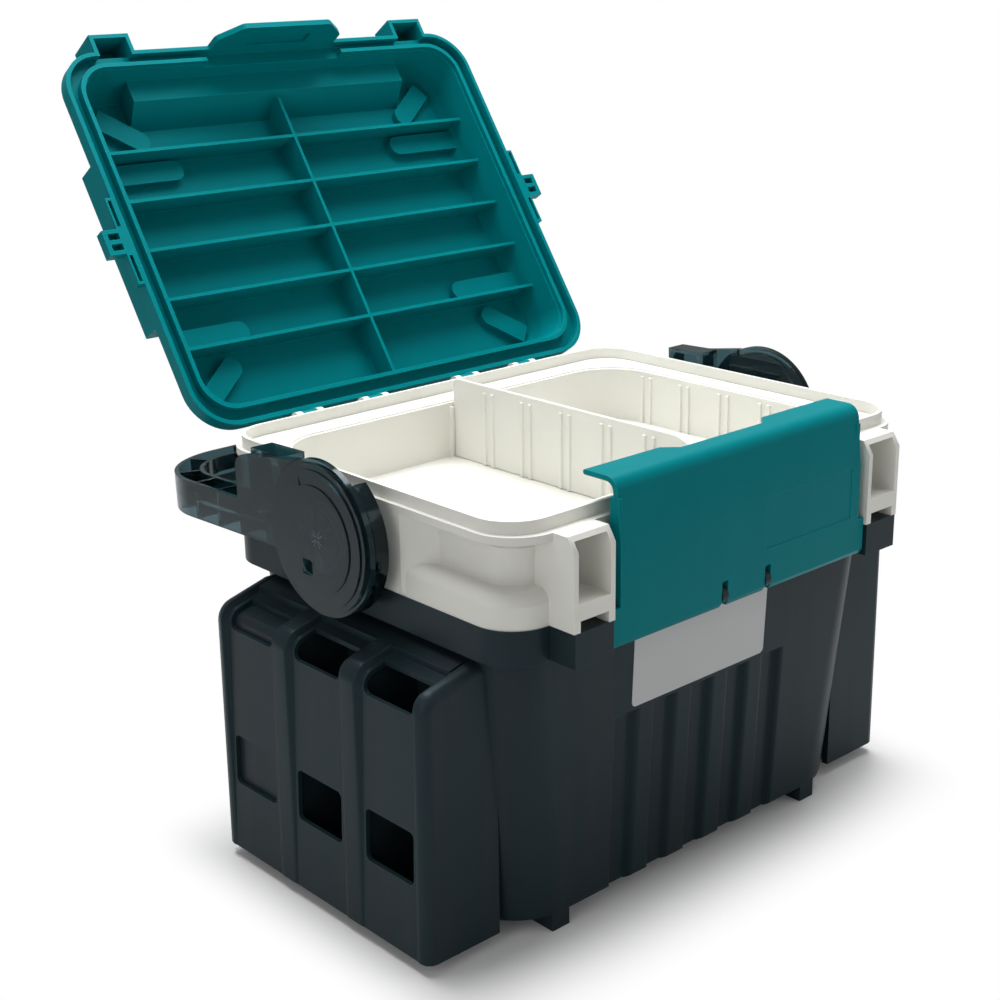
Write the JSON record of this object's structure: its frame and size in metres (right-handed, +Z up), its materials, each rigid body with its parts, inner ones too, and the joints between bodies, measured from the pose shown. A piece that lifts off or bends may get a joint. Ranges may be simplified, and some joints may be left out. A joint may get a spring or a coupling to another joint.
{
  "type": "fishing tackle cabinet",
  "caption": "Portable hard plastic tackle chest with a ribbed hinged lid, hooked front catch, lift-out tray with divider, side bays for rods and tools, and a fold-back carrying handle.",
  "frame": {"origin": "centre of the standing object's bounding box, on the table under its feet", "axes": "+X to the chest's right as seen from the front, +Y to the back, +Z up"},
  "size_m": [0.443, 0.5134, 0.5383],
  "materials": {
    "smoke_shell": "dark smoke-tinted moulded plastic, satin",
    "ivory_shell": "warm white moulded plastic, satin",
    "teal_shell": "teal moulded plastic, fine satin",
    "clear_smoke": "transparent smoke-tinted plastic, polished",
    "steel": "plain steel pins, screws and washers",
    "bare_label": "bare self-adhesive label, satin"
  },
  "bodies": {
    "chest": {"tub": "smoke_shell", "side_holder_left": "smoke_shell", "side_holder_right": "smoke_shell", "upper_frame": "ivory_shell", "hinge_pin_left": "steel", "hinge_pin_right": "steel", "catch_pin_left": "steel", "catch_pin_right": "steel", "hub_base_left": "clear_smoke", "hub_base_right": "clear_smoke", "hub_washer_left": "steel", "hub_washer_right": "steel", "pivot_screw_left": "steel", "pivot_screw_right": "steel", "bay_blank_left": "smoke_shell", "bay_blank_right": "smoke_shell", "front_label": "bare_label"},
    "lid": {"lid": "teal_shell"},
    "catch": {"catch_panel": "teal_shell"},
    "handle": {"carry_handle": "clear_smoke", "hub_cover_left": "clear_smoke", "hub_cover_right": "clear_smoke"},
    "tray": {"tray": "ivory_shell"},
    "divider": {"divider": "ivory_shell"}
  },
  "joints": [
    {"name": "lid_swing", "type": "hinge", "parent": "chest", "child": "lid", "pos_m": [0, 0.05933, 0.2762], "axis": [1, 0, 0], "range_deg": [0, 124]},
    {"name": "catch_swing", "type": "hinge", "parent": "chest", "child": "catch", "pos_m": [0, -0.24968, 0.207], "axis": [1, 0, 0], "range_deg": [0, 170]},
    {"name": "handle_swing", "type": "hinge", "parent": "chest", "child": "handle", "pos_m": [0, -0.09467, 0.251], "axis": [1, 0, 0], "range_deg": [0, 4]},
    {"name": "tray_lift", "type": "slide", "parent": "chest", "child": "tray", "axis": [0, 0, 1], "range_m": [0, 0.32]},
    {"name": "divider_lift", "type": "slide", "parent": "tray", "child": "divider", "axis": [0, 0, 1], "range_m": [0, 0.31]}
  ]
}
